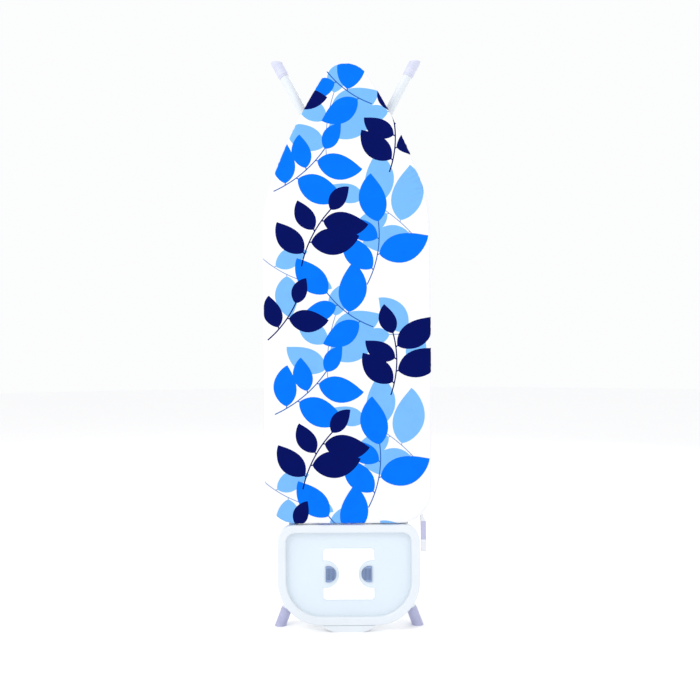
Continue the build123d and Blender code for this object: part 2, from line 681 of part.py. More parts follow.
tail_tube_end = HINGE_Z + 13.5
nose_tube_end = SLIDER_Z - 12.5
centre_bolt = [(38, 109, AXLE_RADIUS), (36.5, 41.5, 8), (66.5, 79.1, 8), (104.9, 109, 8)]
slider_pin = [(77, 112, SLIDER_PIN_RADIUS), (76, 79.5, 7), (109.4, 112, 7)]
for label, side in SIDES.items():
    make_rail(f"rail_{label}", side)
    make_tray_pad(f"tray_pad_{label}", side)
    make_tray_arm(f"tray_arm_{label}", side)
    make_slider_shoe(f"slider_shoe_{label}", side)

    make_leg_tube(
        f"tail_leg_tube_{label}",
        leg_points(side, TAIL_LEG_X, TAIL_FOOT_X, TAIL_BEND_Z, tail_tube_end, 0),
        [(HINGE_Z, AXLE_RADIUS), (CENTRE_Z, AXLE_RADIUS)],
    )
    make_bolt(f"centre_bolt_{label}", LEG_DEPTH, CENTRE_Z, centre_bolt, side)
    make_foot(f"tail_foot_{label}", side, TAIL_LEG_X, TAIL_FOOT_X, TAIL_BEND_Z, 0)
    make_plug(f"tail_leg_plug_{label}", side * TAIL_LEG_X, tail_tube_end, 1)

    make_leg_tube(
        f"nose_leg_tube_{label}",
        leg_points(side, NOSE_LEG_X, NOSE_FOOT_X, NOSE_BEND_Z, nose_tube_end, TOTAL_HEIGHT),
        [(SLIDER_Z, SLIDER_PIN_RADIUS), (CENTRE_Z, AXLE_RADIUS + RUNNING_GAP)],
    )
    make_bolt(f"slider_pin_{label}", LEG_DEPTH, SLIDER_Z, slider_pin, side)
    make_foot(f"nose_foot_{label}", side, NOSE_LEG_X, NOSE_FOOT_X, NOSE_BEND_Z, TOTAL_HEIGHT)
    make_plug(f"nose_leg_plug_{label}", side * NOSE_LEG_X, nose_tube_end, -1)
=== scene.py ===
"""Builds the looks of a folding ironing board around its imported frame.

Everything is in metres, in the frame's axes: X across the ironing face, Y from that face to the
folded legs, Z up towards the nose. Depths are measured from the ironing face towards the legs.
"""

import json
import math
import random

import bmesh
import bpy
import numpy as np
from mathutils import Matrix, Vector, geometry, kdtree


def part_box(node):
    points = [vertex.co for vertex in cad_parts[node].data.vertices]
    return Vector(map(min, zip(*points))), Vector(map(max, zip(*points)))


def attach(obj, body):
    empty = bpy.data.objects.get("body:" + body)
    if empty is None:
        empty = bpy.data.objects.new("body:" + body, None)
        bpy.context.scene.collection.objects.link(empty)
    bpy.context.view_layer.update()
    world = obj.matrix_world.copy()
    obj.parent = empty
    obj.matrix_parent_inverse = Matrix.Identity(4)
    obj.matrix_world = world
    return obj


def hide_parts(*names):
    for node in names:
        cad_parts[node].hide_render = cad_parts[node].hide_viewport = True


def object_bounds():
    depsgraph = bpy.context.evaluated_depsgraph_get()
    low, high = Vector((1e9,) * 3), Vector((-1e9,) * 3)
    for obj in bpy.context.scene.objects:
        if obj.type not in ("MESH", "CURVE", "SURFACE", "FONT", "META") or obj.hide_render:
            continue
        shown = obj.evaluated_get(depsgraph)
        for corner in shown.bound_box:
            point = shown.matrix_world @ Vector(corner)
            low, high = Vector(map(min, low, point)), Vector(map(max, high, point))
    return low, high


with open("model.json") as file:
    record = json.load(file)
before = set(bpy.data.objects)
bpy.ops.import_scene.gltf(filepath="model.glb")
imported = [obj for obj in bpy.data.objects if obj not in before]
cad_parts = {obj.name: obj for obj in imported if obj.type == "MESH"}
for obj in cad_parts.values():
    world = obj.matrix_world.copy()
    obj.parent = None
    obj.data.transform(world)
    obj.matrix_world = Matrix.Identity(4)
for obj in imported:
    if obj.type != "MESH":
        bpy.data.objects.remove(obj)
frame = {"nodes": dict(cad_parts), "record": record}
CAD_BOX = [list(corner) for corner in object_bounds()]

bl_info = {
    "name": "Ironing Board",
    "version": (1, 0, 0),
    "blender": (4, 5, 0),
    "location": "3D View > Sidebar > Board",
    "description": "Adds the cover, padding, panel, feet and finishes of a folding ironing board",
    "category": "Object",
}

MM = 0.001
COVER_LOW, COVER_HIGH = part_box("cover")
FACE_Y = COVER_LOW[1]
TAIL_Z, TIP_Z = COVER_LOW[2], COVER_HIGH[2]
HALF_WIDTH = COVER_HIGH[0]
FLOOR_Z = CAD_BOX[0][2]

# The board's outline, as tangent arcs from the tip: radius and turn in degrees
NOSE_ARC = (0.070, 57)
FLANK_ARC = (1.396, 13)
SHOULDER_TURN = 90 - NOSE_ARC[1] - FLANK_ARC[1]
TAIL_CORNER = 0.086

# Leg tubes: straight x, foot x, bend z and foot z, with the height of the foot cap's sole
LEG_TUBE_RADIUS = 0.0125
LEG_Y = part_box("tail_leg_upper_brace")[0][1] + 0.008
LEGS = {
    "tail": {
        "top_x": 0.054, "foot_x": 0.190, "bend_z": 0.364, "foot_z": FLOOR_Z, "cap_share": 1.0,
    },
    "nose": {
        "top_x": 0.092, "foot_x": 0.192, "bend_z": 1.370, "foot_z": CAD_BOX[1][2],
        "cap_share": 0.88,
    },
}
OPEN_ANGLE = math.radians(48.5)

# Layers of the print, from the lowest to the highest, and how uneven each one's ink is
GROUND, PALE_STEM, SKY, BLUE_STEM, BRIGHT, NAVY = range(6)
INK_MOTTLE = {
    "ground": 0.02, "pale_stem": 0.05, "sky": 0.05, "blue_stem": 0.05, "bright": 0.08, "navy": 0.10,
}
STEM_SCALE = 1.85 * MM
STALK = 5.5 * MM
STEM_LAYER = {SKY: PALE_STEM, BRIGHT: BLUE_STEM}
REPEAT = 0.600
REPEAT_START = 0.353

# Every sprig follows one rule: leaves stand on alternate sides of its stem and one ends it
STEM_WIDTH = {SKY: 1.2 * STEM_SCALE, BRIGHT: 1.6 * STEM_SCALE, NAVY: 1.9 * STEM_SCALE}
LEAF_SIZES = (0.84, 1.0, 0.70, 0.93, 0.62)
LEAF_SPREAD = 56
LEAF_BREADTH = 0.54
LEAF_BEND = 0.12

# Each sprig: layer, root x and height, heading, length and turn of the stem, leaf count and
# the longest leaf. Sizes in millimetres, angles in degrees.
SPRIGS = [
    (SKY, 196, 96, 128, 190, 26, 5, 156),
    (SKY, -52, 318, 96, 180, -24, 5, 150),
    (SKY, -232, 60, 318, 130, 24, 3, 118),
    (SKY, 236, 470, 200, 120, -20, 3, 122),
    (BRIGHT, 54, -16, 62, 170, 34, 4, 146),
    (BRIGHT, -196, 236, 24, 176, 30, 5, 138),
    (BRIGHT, 70, 470, 160, 150, -32, 4, 140),
    (NAVY, -122, 34, 78, 168, -30, 5, 136),
    (NAVY, 116, 286, 70, 164, 34, 5, 140),
    (NAVY, -214, 436, 40, 120, 24, 3, 112),
]


def y_at(depth):
    """Frame Y of a depth below the ironing face."""
    return FACE_Y + depth


# ------------------------ shader maths


class Value:
    """A shader socket that takes part in arithmetic, adding its Math nodes as it goes."""

    def __init__(self, nodes, socket):
        self.nodes, self.socket = nodes, socket

    def math(self, operation, *operands):
        node = self.nodes.make("ShaderNodeMath", {"operation": operation}, **{
            str(i): operand for i, operand in enumerate(operands)
        })
        return Value(self.nodes, node.outputs[0])

    def __add__(self, other):
        return self.math("ADD", self, other)

    def __sub__(self, other):
        return self.math("SUBTRACT", self, other)

    def __rsub__(self, other):
        return self.math("SUBTRACT", other, self)

    def __mul__(self, other):
        return self.math("MULTIPLY", self, other)

    def __gt__(self, other):
        return self.math("GREATER_THAN", self, other)

    def __lt__(self, other):
        return self.math("LESS_THAN", self, other)

    __radd__, __rmul__ = __add__, __mul__

    def sine(self):
        return self.math("SINE", self)

    def clamped(self):
        return self.math("MAXIMUM", self.math("MINIMUM", self, 1.0), 0.0)


class Finish:
    """One material's node tree, with a Principled shader to feed."""

    def __init__(self, name, colour, roughness, **fixed):
        self.material = bpy.data.materials.new(name)
        self.material.use_nodes = True
        self.material.diffuse_color = (*colour, 1)
        self.tree = self.material.node_tree
        self.shader = next(n for n in self.tree.nodes if n.type == "BSDF_PRINCIPLED")
        self.shader.inputs["Base Color"].default_value = (*colour, 1)
        self.shader.inputs["Roughness"].default_value = roughness
        for socket, value in fixed.items():
            self.shader.inputs[socket.replace("_", " ")].default_value = value
        self.place = Value(self, self.make("ShaderNodeTexCoord").outputs["Object"])

    def make(self, kind, settings=None, **sockets):
        """Adds a node, sets it up, then sets or links its sockets by name or number."""
        node = self.tree.nodes.new(kind)
        for key, value in (settings or {}).items():
            setattr(node, key, value)
        for key, value in sockets.items():
            socket = node.inputs[int(key) if key.isdigit() else key.replace("_", " ")]
            if isinstance(value, Value):
                self.tree.links.new(value.socket, socket)
            else:
                socket.default_value = value
        return node

    def axes(self):
        """X, Y and Z of the surface point, in metres."""
        split = self.make("ShaderNodeSeparateXYZ", Vector=self.place)
        return [Value(self, output) for output in split.outputs]

    def noise(self, scale, detail=3.0, rough=0.5):
        """Noise from 0 to 1, with one scale or with a scale for each axis."""
        place = self.place
        if isinstance(scale, tuple):
            spread = self.make(
                "ShaderNodeVectorMath", {"operation": "MULTIPLY"}, **{"0": place, "1": scale}
            )
            place, scale = Value(self, spread.outputs[0]), 1.0
        node = self.make(
            "ShaderNodeTexNoise", Vector=place, Scale=scale, Detail=detail, Roughness=rough
        )
        return Value(self, node.outputs[0])

    def mix(self, mask, low, high):
        """Colour that goes from low to high as the mask goes from 0 to 1."""
        low, high = (end if isinstance(end, Value) else (*end, 1) for end in (low, high))
        node = self.make("ShaderNodeMix", {"data_type": "RGBA"}, **{"0": mask, "6": low, "7": high})
        return Value(self, node.outputs[2])

    def colour(self, value):
        self.tree.links.new(value.socket, self.shader.inputs["Base Color"])

    def roughness(self, value):
        self.tree.links.new(value.clamped().socket, self.shader.inputs["Roughness"])

    def bump(self, height, strength, distance):
        node = self.make("ShaderNodeBump", Height=height, Strength=strength, Distance=distance)
        self.tree.links.new(node.outputs[0], self.shader.inputs["Normal"])


def shade(colour, factor):
    return tuple(min(1.0, c * factor) for c in colour)


def cotton(name, colour, mottle):
    """Plain-woven cotton, printed or bleached, with crossing threads and uneven ink."""
    finish = Finish(
        name, colour, 0.86, Sheen_Weight=0.01, Sheen_Roughness=0.5, Specular_IOR_Level=0.06
    )
    x, y, z = finish.axes()
    thread = 2 * math.pi / (0.62 * MM)
    drift = finish.noise(38, 2.0) * 5.0
    warp = (x * thread + y * thread + drift).sine()
    weft = (z * thread + y * (thread * 0.5) + drift).sine()
    slubs = finish.noise((900, 900, 90)) + finish.noise((90, 90, 900))
    ink = (finish.noise(24, 5.0, 0.62) - 0.36) * 2.4
    base = finish.mix(ink.clamped(), shade(colour, 1 - mottle), shade(colour, 1 + mottle * 0.5))
    threads = (warp * weft * 0.5 + 0.5) * 0.5 + (slubs - 1.0) * 0.9 + 0.25
    finish.colour(finish.mix(threads.clamped() * 0.30, base, shade(colour, 0.80)))
    finish.roughness(0.80 + slubs * 0.06)
    finish.bump(warp * weft * 0.6 + slubs * 0.8, 0.35, 0.00018)
    return finish.material


def powder_coat(name, colour, tint):
    """Baked paint on steel: slight orange peel, uneven gloss and faint handling marks."""
    finish = Finish(name, colour, 0.36, Coat_Weight=0.15, Coat_Roughness=0.25)
    cloud = finish.noise(9, 4.0, 0.6)
    finish.colour(finish.mix(((cloud - 0.35) * 2.2).clamped(), tint, colour))
    rubs = finish.noise((240, 240, 16), 4.0)
    finish.roughness(0.30 + cloud * 0.10 + rubs * 0.10)
    finish.bump(finish.noise(1100, 2.0) + finish.noise(420, 2.0) * 0.6, 0.06, 0.0002)
    return finish.material


def zinc(name, colour):
    """Plated fastener steel with a fine turned grain."""
    finish = Finish(name, colour, 0.32, Metallic=1.0)
    grain = finish.noise((60, 1400, 1400), 3.0)
    cloud = finish.noise(300, 3.0)
    finish.colour(finish.mix(cloud, shade(colour, 0.82), shade(colour, 1.1)))
    finish.roughness(0.20 + grain * 0.18 + cloud * 0.12)
    finish.bump(grain, 0.2, 0.0001)
    return finish.material


def moulded(name, colour, gloss, grain_size):
    """Moulded plastic with a fine spark-eroded grain and slight colour drift."""
    finish = Finish(name, colour, 1 - gloss, IOR=1.48)
    cloud = finish.noise(45, 4.0, 0.6)
    grain = finish.noise(grain_size, 2.0)
    finish.colour(finish.mix(cloud, shade(colour, 0.9), shade(colour, 1.08)))
    finish.roughness(1 - gloss - 0.08 + grain * 0.16)
    finish.bump(grain, 0.22, 0.0002)
    return finish.material


def silicone(name, colour, groove_shade_y):
    """Heat-proof ribbed pad rubber, dull, with dust in its pores and painted shade in its grooves.
    """
    finish = Finish(name, colour, 0.68)
    dust = finish.noise(210, 5.0, 0.65)
    dusty = finish.mix(((dust - 0.4) * 2).clamped(), colour, shade(colour, 1.3))
    # painted shade: every surface deeper than the rib tops, the grooves and the sides, is darkened
    # to 30 per cent
    groove_shade = ((finish.axes()[1] - groove_shade_y) * (1 / MM)).clamped()
    finish.colour(finish.mix(groove_shade, dusty, shade(colour, 0.30)))
    finish.roughness(0.58 + dust * 0.2)
    finish.bump(finish.noise(1500, 2.0), 0.25, 0.0002)
    return finish.material


def felt(name, colour):
    """Needled felt with loose fibres and thin patches."""
    finish = Finish(name, colour, 0.95, Sheen_Weight=0.3)
    fibres = finish.noise((700, 300, 1500), 5.0) + finish.noise((1500, 300, 600), 5.0)
    patches = finish.noise(26, 4.0)
    finish.colour(finish.mix(patches * fibres, shade(colour, 0.86), shade(colour, 1.06)))
    finish.roughness(0.86 + fibres * 0.06)
    finish.bump(fibres, 0.5, 0.0005)
    return finish.material


def woven_tape(name, colour, band_colour, edge_shadow, band_low, band_high, edge_shadow_x):
    """Satin label tape: a darker woven band between two heights, and a dark strip of painted shadow
    along its left edge.
    """
    finish = Finish(name, colour, 0.6, Sheen_Weight=0.2)
    x, _, z = finish.axes()
    rib = (z * (2 * math.pi / (0.5 * MM))).sine() * 0.5 + 0.5
    stripes = (x * (2 * math.pi / (2.6 * MM))).sine() * 0.5 + 0.5
    woven = finish.mix(rib * 0.15, colour, shade(colour, 0.8))
    darker = finish.mix(stripes * 0.5 + rib * 0.2, band_colour, shade(band_colour, 1.3))
    banded = finish.mix((z > band_low) * (z < band_high), woven, darker)
    # painted shadow: the thin strip left of this x takes the dark colour, standing in for the shade
    # the tape's left edge casts
    finish.colour(finish.mix(x < edge_shadow_x, banded, edge_shadow))
    finish.roughness(0.5 + rib * 0.2)
    finish.bump(rib, 0.3, 0.0001)
    return finish.material


def studio_white(name, colour):
    """Seamless floor of the studio."""
    finish = Finish(name, colour, 0.9)
    finish.colour(finish.mix(finish.noise(3, 2.0), shade(colour, 0.985), colour))
    finish.bump(finish.noise(260, 3.0), 0.05, 0.0004)
    return finish.material


# ------------------------ shapes


def towards(angle):
    """Unit vector at an angle."""
    return Vector((math.cos(angle), math.sin(angle)))


def outline(inset, spacing):
    """Closed loop of (x, z) points of the board's outline, set in by a margin."""
    nose_radius, nose_turn = NOSE_ARC
    flank_radius = FLANK_ARC[0]
    nose_end = math.radians(90 - nose_turn)
    flank_end = math.radians(SHOULDER_TURN)
    reach = nose_radius * math.cos(nose_end)
    reach += flank_radius * (math.cos(flank_end) - math.cos(nose_end))
    shoulder_radius = (HALF_WIDTH - reach) / (1 - math.cos(flank_end))
    arcs = [
        (nose_radius, 90, 90 - nose_turn),
        (flank_radius, 90 - nose_turn, SHOULDER_TURN),
        (shoulder_radius, SHOULDER_TURN, 0),
    ]
    half = []
    centre = Vector((0, TIP_Z - nose_radius))
    for index, (radius, start, stop) in enumerate(arcs):
        if index:
            centre += (arcs[index - 1][0] - radius) * towards(math.radians(start))
        own = radius - inset
        steps = max(3, round(own * math.radians(start - stop) / spacing))
        for step in range(steps):
            turn = math.radians(start + (stop - start) * step / steps)
            half.append(centre + own * towards(turn))
    side_top = centre.y
    corner_z = TAIL_Z + TAIL_CORNER
    steps = round((side_top - corner_z) / spacing)
    for step in range(steps):
        z = side_top + (corner_z - side_top) * step / steps
        half.append(Vector((HALF_WIDTH - inset, z)))
    own = TAIL_CORNER - inset
    steps = max(3, round(own * math.pi / 2 / spacing))
    corner = Vector((HALF_WIDTH - TAIL_CORNER, corner_z))
    for step in range(steps):
        turn = -math.pi / 2 * step / steps
        half.append(corner + own * towards(turn))
    steps = round(corner.x / spacing)
    half += [Vector((corner.x * (1 - step / steps), TAIL_Z + inset)) for step in range(steps)]
    left = [Vector((-p.x, p.y)) for p in reversed(half[1:])]
    return half + [Vector((0, TAIL_Z + inset))] + left


class Rim:
    """The board's outline as a dense loop, for finding the nearest edge point of any point."""

    def __init__(self):
        loop = np.array([tuple(p) for p in outline(0, 0.001)])
        ahead, behind = np.roll(loop, -1, axis=0), np.roll(loop, 1, axis=0)
        along = ahead - behind
        self.normal = np.stack([-along[:, 1], along[:, 0]], axis=1)
        self.normal /= np.linalg.norm(self.normal, axis=1)[:, None]
        middle = np.array([0.0, (TAIL_Z + TIP_Z) / 2])
        if ((loop - middle) * self.normal).sum() < 0:
            self.normal = -self.normal
        steps = np.linalg.norm(ahead - loop, axis=1)
        self.run = np.concatenate([[0], np.cumsum(steps)[:-1]])
        self.loop = loop
        self.tree = kdtree.KDTree(len(loop))
        for index, (x, z) in enumerate(loop):
            self.tree.insert((x, z, 0), index)
        self.tree.balance()

    def nearest(self, x, z):
        """(inset, foot point, outward normal, run along the outline) of a point."""
        _, index, _ = self.tree.find((x, z, 0))
        foot, normal = self.loop[index], self.normal[index]
        tangent = np.array([-normal[1], normal[0]])
        offset = np.array([x, z]) - foot
        foot = foot + tangent * float(offset @ tangent)
        return -float(offset @ normal), foot, normal, self.run[index]


def new_piece(name, vertices, faces, body, materials, face_materials=None, smooth=True):
    """Makes a mesh piece that rides on a body."""
    mesh = bpy.data.meshes.new(name)
    mesh.from_pydata([tuple(v) for v in vertices], [], [tuple(f) for f in faces])
    for material in materials:
        mesh.materials.append(material)
    if face_materials is not None:
        mesh.polygons.foreach_set("material_index", face_materials)
    mesh.validate()
    mesh.update()
    mesh.shade_smooth() if smooth else mesh.shade_flat()
    piece = bpy.data.objects.new(name, mesh)
    bpy.context.scene.collection.objects.link(piece)
    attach(piece, body)
    return piece


def thicken(sheet, name, thickness, offset=-1):
    """Gives a sheet its thickness, on its back or, with an offset of 1, on its front."""
    solid = sheet.modifiers.new(name, "SOLIDIFY")
    solid.thickness, solid.offset = thickness, offset


class Solid:
    """Collects the vertices and faces of one piece made of several parts."""

    def __init__(self):
        self.vertices, self.faces = [], []

    def add(self, vertices, faces):
        first = len(self.vertices)
        self.vertices += [Vector(v) for v in vertices]
        self.faces += [tuple(first + i for i in face) for face in faces]

    def add_rings(self, vertices, segments, closed=False):
        """Adds rings of vertices, skinned in order, capped unless the last meets the first."""
        rows = len(vertices) // segments
        faces = []
        for row in range(rows if closed else rows - 1):
            low, high = row * segments, (row + 1) % rows * segments
            for step in range(segments):
                after = (step + 1) % segments
                faces.append((low + step, low + after, high + after, high + step))
        if not closed:
            faces.append(tuple(reversed(range(segments))))
            faces.append(tuple(range((rows - 1) * segments, rows * segments)))
        self.add(vertices, faces)

    def lathe(self, origin, axis, profile, segments):
        """Turns (distance along the axis, radius) points round an axis."""
        turn = Vector(axis).normalized().to_track_quat("Z", "Y").to_matrix()
        vertices = []
        for along, radius in profile:
            for step in range(segments):
                a = 2 * math.pi * step / segments
                local = Vector((radius * math.cos(a), radius * math.sin(a), along))
                vertices.append(Vector(origin) + turn @ local)
        self.add_rings(vertices, segments)

    def tube(self, path, radius, segments=8, closed=False):
        """Round bar along a path of points."""
        points = [Vector(p) for p in path]
        count = len(points)
        vertices, normal = [], None
        for i, point in enumerate(points):
            ahead = points[(i + 1) % count] if closed or i < count - 1 else point
            behind = points[i - 1] if closed or i else point
            tangent = (ahead - behind).normalized()
            if normal is None:
                normal = tangent.orthogonal().normalized()
            normal = (normal - tangent * normal.dot(tangent)).normalized()
            side = tangent.cross(normal)
            for step in range(segments):
                a = 2 * math.pi * step / segments
                spoke = normal * math.cos(a) + side * math.sin(a)
                vertices.append(point + radius * spoke)
        self.add_rings(vertices, segments, closed)

    def piece(self, name, body, slot, material, smooth=True):
        piece = new_piece(name, self.vertices, self.faces, body, [material], None, smooth)
        mesh = bmesh.new()
        mesh.from_mesh(piece.data)
        bmesh.ops.recalc_face_normals(mesh, faces=mesh.faces)
        mesh.to_mesh(piece.data)
        mesh.free()
        return piece


# ------------------------ the print


def blade_width(t, base, tip):
    """Share of a leaf's greatest half width, with how sharply it tapers to base and tip."""
    widest = base / (base + tip)
    return (t / widest) ** base * ((1 - t) / (1 - widest)) ** tip


def leaf_outline(base, direction, length, width, bend):
    """Leaf blade bent to one side, full on the outside of the bend and drawn in on the inside."""
    steps = 18
    along = towards(direction)
    across = Vector((-along.y, along.x))
    full, drawn = (0.62, 0.74), (0.86, 1.16)
    left_taper, right_taper = (full, drawn) if bend > 0 else (drawn, full)
    left, right = [], []
    for step in range(steps + 1):
        t = (1 - math.cos(math.pi * step / steps)) / 2
        sway = bend * length * (math.sin(math.pi * t) * 0.55 + t ** 3 * 0.35)
        middle = base + along * (length * t) + across * sway
        left.append(middle + across * (width / 2 * blade_width(t, *left_taper)))
        right.append(middle - across * (width / 2 * blade_width(t, *right_taper)))
    return left + right[-2:0:-1]


def ribbon(line, width):
    """Closed loop of a stem of even width along a line of points."""
    left, right = [], []
    for i, point in enumerate(line):
        ahead = line[min(i + 1, len(line) - 1)] - line[max(i - 1, 0)]
        across = Vector((-ahead.y, ahead.x)).normalized() * width / 2
        left.append(point + across)
        right.append(point - across)
    return left + right[::-1]


def stem_line(root, heading, turn, reach):
    """Points of a stem that starts at a heading and turns evenly over its length."""
    steps, line = 20, [root]
    for step in range(steps):
        angle = math.radians(heading + turn * (step + 0.5) / steps)
        line.append(line[-1] + towards(angle) * (reach / steps))
    return line


def print_shapes():
    """(layer, closed loop) of every stem and leaf of the print, over the whole cut of cloth."""
    shapes = []
    for repeat in range(-1, 3):
        shift = Vector((0, REPEAT_START + REPEAT * repeat))
        for layer, x, height, heading, reach, turn, count, longest in SPRIGS:
            stem_layer, width = STEM_LAYER.get(layer, layer), STEM_WIDTH[layer]
            line = stem_line(Vector((x, height)) * MM + shift, heading, turn, reach * MM)
            shapes.append((stem_layer, ribbon(line, width)))
            for i in range(count):
                share = (i + 1) / count
                side = 0 if share == 1 else (-1) ** i
                node = line[round(share * (len(line) - 1))]
                direction = math.radians(heading + turn * share + side * LEAF_SPREAD)
                stalk = towards(direction) * STALK
                shapes.append((stem_layer, ribbon([node, node + stalk * 1.5], width)))
                length = longest * MM * LEAF_SIZES[i]
                shapes.append((layer, leaf_outline(
                    node + stalk, direction, length - STALK, length * LEAF_BREADTH,
                    LEAF_BEND * (side or 1),
                )))
    return shapes


# ------------------------ cloth over the board

# The cover's way round the board's edge: roll, side, turn and hem
ROLL = 0.007
SIDE = 0.0195
TURN = 0.0028
HEM = 0.0165
WRAP = ROLL * math.pi / 2 + SIDE + TURN * math.pi / 2 + HEM
STITCH_LINE = 0.009
GATHERS = ((0.0163, 0.5), (0.0121, 0.34), (0.0231, 0.3), (0.057, 0.25))
GATHER_SEED = 5

# Puckers on the flank, and creases all along the edge
PUCKER_CENTRE, PUCKER_HALF_HEIGHT, PUCKER_REACH, PUCKER_DEPTH = 1.235, 0.10, 0.030, 0.0017
LEFT_PUCKER = 0.35
CREASE_REACH, CREASE_DEPTH = 0.016, 0.00018

# Spacing of the cloth's net, and the loop of a net that is its outer cut
EDGE_PITCH, NET_PITCH, NET_ROW = 0.0045, 0.0085, 0.866
CUT = 0


def wrap_profile(t):
    """(inset, depth, outward share, backward share) at a length t past the start of the roll."""
    if t <= ROLL * math.pi / 2:
        a = t / ROLL
        return ROLL - ROLL * math.sin(a), ROLL * (1 - math.cos(a)), math.sin(a), -math.cos(a)
    t -= ROLL * math.pi / 2
    if t <= SIDE:
        return -0.0007 * math.sin(math.pi * t / SIDE), ROLL + t, 1.0, 0.0
    t -= SIDE
    if t <= TURN * math.pi / 2:
        a = t / TURN
        return TURN - TURN * math.cos(a), ROLL + SIDE + TURN * math.sin(a), math.cos(a), math.sin(a)
    t -= TURN * math.pi / 2
    return TURN + t, ROLL + SIDE + TURN + 0.0004 * math.sin(math.pi * t / HEM), 0.0, 1.0


def ripple(run, seed):
    """Uneven gathering along the edge, from -1 to 1, with no repeat."""
    draw = random.Random(seed)
    total = 0.0
    for wavelength, weight in GATHERS:
        phase = draw.uniform(0, 2 * math.pi)
        total += weight * math.sin(2 * math.pi * run / wavelength + phase)
    return total / 1.1


def pulled(x, z, inset):
    """How strongly the elastic pulls the cloth into creases at a place on the face."""
    inset = max(inset, 0)
    crease = math.exp(-inset / CREASE_REACH)
    close = math.exp(-((z - PUCKER_CENTRE) / PUCKER_HALF_HEIGHT) ** 2) * (
        1 if x > 0 else LEFT_PUCKER
    )
    wide = math.exp(-(inset / PUCKER_REACH) ** 2)
    return CREASE_DEPTH * crease + PUCKER_DEPTH * close * wide


def wrapped(rim, x, z):
    """Where a point of the flat cut lies once the cover is on the board."""
    inset, foot, normal, run = rim.nearest(x, z)
    t = ROLL - inset
    gather = ripple(run, GATHER_SEED)
    if t <= 0:
        loose = 0.00025 * math.sin(11 * x + 3.1) * math.sin(7.3 * z + 17 * x)
        rise = loose + pulled(x, z, inset) * gather + 0.00012 * math.sin(39 * x + 23 * z)
        return Vector((x, y_at(-abs(rise) * 0.4 - rise), z))
    into, depth, outward, backward = wrap_profile(t)
    share = min(1.0, t / WRAP)
    swell = 0.0002 + 0.0011 * share ** 1.4
    lift = swell * gather + pulled(x, z, 0) * gather * (1 - share)
    lift = max(lift, -0.0004) + 0.0003
    out = -into + lift * outward
    return Vector((
        foot[0] + normal[0] * out,
        y_at(depth + lift * max(backward, -1)),
        foot[1] + normal[1] * out,
    ))


def cut_points():
    """Loose points that give the cloth its net: rows along the edge and a net inside."""
    points = []
    rows = [0.0015 * i for i in range(8)] + [0.012 + 0.0035 * i for i in range(12)]
    for row, t in enumerate(rows):
        if t < WRAP - 0.001:
            points += outline(ROLL - t, EDGE_PITCH)[row % 2:]
    for row in range(1, 13):
        points += [
            p for p in outline(ROLL + 0.0032 * row, 0.0031) if abs(p.y - PUCKER_CENTRE) < 0.24
        ]
    inner = outline(ROLL + 0.004, 0.008)
    low, high = TAIL_Z + ROLL, TIP_Z - ROLL
    rows = int((high - low) / (NET_PITCH * NET_ROW))
    spans = {}
    for a, b in zip(inner, inner[1:] + inner[:1]):
        first, last = sorted((a.y, b.y))
        for row in range(rows + 1):
            z = low + row * NET_PITCH * NET_ROW
            if first <= z < last:
                spans.setdefault(row, []).append(a.x + (b.x - a.x) * (z - a.y) / (b.y - a.y))
    for row, ends in spans.items():
        left, right = min(ends), max(ends)
        count = max(2, int((right - left) / NET_PITCH))
        for i in range(count + 1):
            x = left + (right - left) * (i + 0.5 * (row % 2)) / (count + 0.5)
            points.append(Vector((x, low + row * NET_PITCH * NET_ROW)))
    return points


def anticlockwise(loop):
    area = sum(a.x * b.y - b.x * a.y for a, b in zip(loop, loop[1:] + loop[:1]))
    return loop if area > 0 else loop[::-1]


def numbered(loops):
    """Points of closed loops, each run anticlockwise, and every loop as numbers of its points."""
    points, numbers = [], []
    for loop in loops:
        first = len(points)
        points += anticlockwise(loop)
        numbers.append(list(range(first, len(points))))
    return points, numbers


def printed_cloth():
    """Triangles of the flat cut with the layer each one shows, from the print's own edges."""
    shapes = [(GROUND, outline(ROLL - WRAP, EDGE_PITCH)), *print_shapes()]
    layers = [layer for layer, _ in shapes]
    vertices, loops = numbered(loop for _, loop in shapes)
    vertices += cut_points()
    points, _, triangles, _, _, origins = geometry.delaunay_2d_cdt(
        vertices, [], loops, 1, 1e-6, True
    )
    faces, shown = [], []
    for triangle, inside in zip(triangles, origins):
        if CUT in inside:
            faces.append(triangle)
            shown.append(max(layers[i] for i in inside))
    points, faces = used_points(points, faces)
    return points, faces, shown


def used_points(points, faces):
    """Leaves out the points that no face uses."""
    used = sorted({i for face in faces for i in face})
    place = {old: new for new, old in enumerate(used)}
    return [points[i] for i in used], [tuple(place[i] for i in face) for face in faces]


# ------------------------ settings


def size(name, description, default, low=0.0, high=2.0):
    return bpy.props.FloatProperty(
        name=name, description=description, default=default, min=low, max=high, unit="LENGTH"
    )


def tint(name, description, default):
    return bpy.props.FloatVectorProperty(
        name=name, description=description, default=default, size=3, subtype="COLOR",
        min=0.0, max=1.0,
    )


class ClothSettings(bpy.types.PropertyGroup):
    ground: tint("Ground", "Bleached cotton of the cover", (0.86, 0.865, 0.885))
    navy: tint("Navy", "Darkest ink of the print", (0.0, 0.004, 0.104))
    bright: tint("Bright blue", "Middle ink of the print", (0.0, 0.170, 0.90))
    sky: tint("Sky blue", "Lightest ink of the print", (0.180, 0.460, 0.90))
    pale_stem: tint("Pale stems", "Stems of the sky blue leaves", (0.19, 0.29, 0.56))
    blue_stem: tint("Blue stems", "Stems of the bright leaves", (0.022, 0.115, 0.42))
    thickness: size("Cloth thickness", "Thickness of the cotton", 0.0005, 0.0001, 0.002)
    felt: tint("Felt", "Underlay that shows through the mesh panel", (0.72, 0.72, 0.70))


